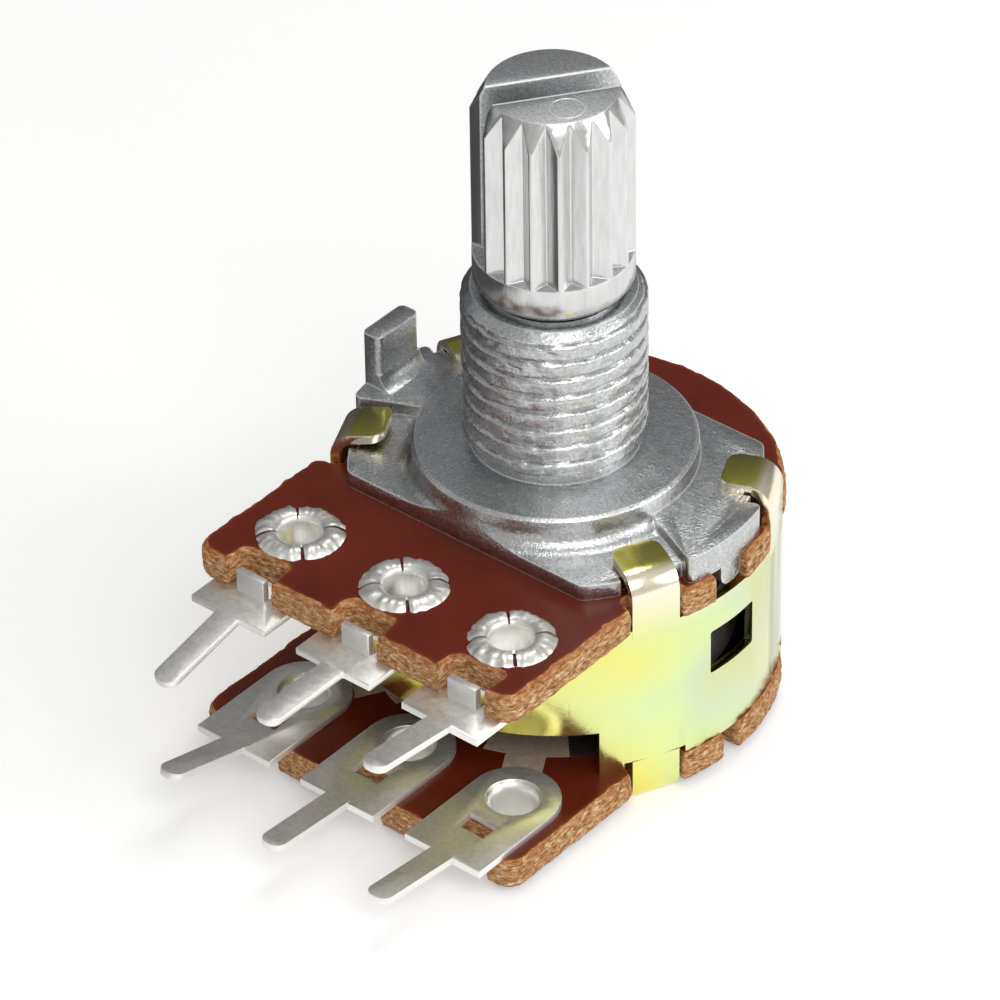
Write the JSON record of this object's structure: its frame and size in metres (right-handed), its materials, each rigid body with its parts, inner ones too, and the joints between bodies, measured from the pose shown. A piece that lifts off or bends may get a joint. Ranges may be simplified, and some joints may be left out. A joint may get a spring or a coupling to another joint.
{
  "type": "dual-gang potentiometer",
  "caption": "Rotary dual-gang potentiometer with a split knurled shaft, threaded bushing, bent-tab frame and stacked wafers with flat solder pins.",
  "frame": {"origin": "on the shaft axis, at the seating face of the boss ring that meets the panel", "axes": "+Z along the shaft, out of the panel; the terminals point to -Y and their row runs along X"},
  "size_m": [0.017, 0.025, 0.0263],
  "materials": {
    "zinc_casting": "satin as-cast zinc",
    "shaft_metal": "bright machined",
    "clip_steel": "oiled spring steel",
    "chromated_steel": "yellow-green iridescent chromate",
    "wafer_laminate": "glossy paper laminate with fibrous cut edges",
    "tinned_terminal": "satin tin plating on brass",
    "carbon_print": "matt carbon print",
    "silver_print": "satin silver print",
    "rotor_moulding": "charcoal moulding",
    "wiper_spring": "bright spring bronze"
  },
  "bodies": {
    "housing": {"bushing_plate": "zinc_casting", "frame": "chromated_steel", "front_wafer": "wafer_laminate", "rear_wafer": "wafer_laminate", "front_terminal_1": "tinned_terminal", "front_terminal_2": "tinned_terminal", "front_terminal_3": "tinned_terminal", "front_resistive_track": "carbon_print", "front_collector_ring": "carbon_print", "front_end_contacts": "silver_print", "rear_terminal_1": "tinned_terminal", "rear_terminal_2": "tinned_terminal", "rear_terminal_3": "tinned_terminal", "rear_resistive_track": "carbon_print", "rear_collector_ring": "carbon_print", "rear_end_contacts": "silver_print"},
    "rotor": {"shaft": "shaft_metal", "retaining_clip": "clip_steel", "front_rotor": "rotor_moulding", "rear_rotor": "rotor_moulding", "front_wiper": "wiper_spring", "rear_wiper": "wiper_spring"}
  },
  "joints": [
    {"name": "shaft_turn", "type": "hinge", "parent": "housing", "child": "rotor", "pos_m": [0, 0, 0], "axis": [0, 0, 1], "range_deg": [-294, 6]}
  ]
}
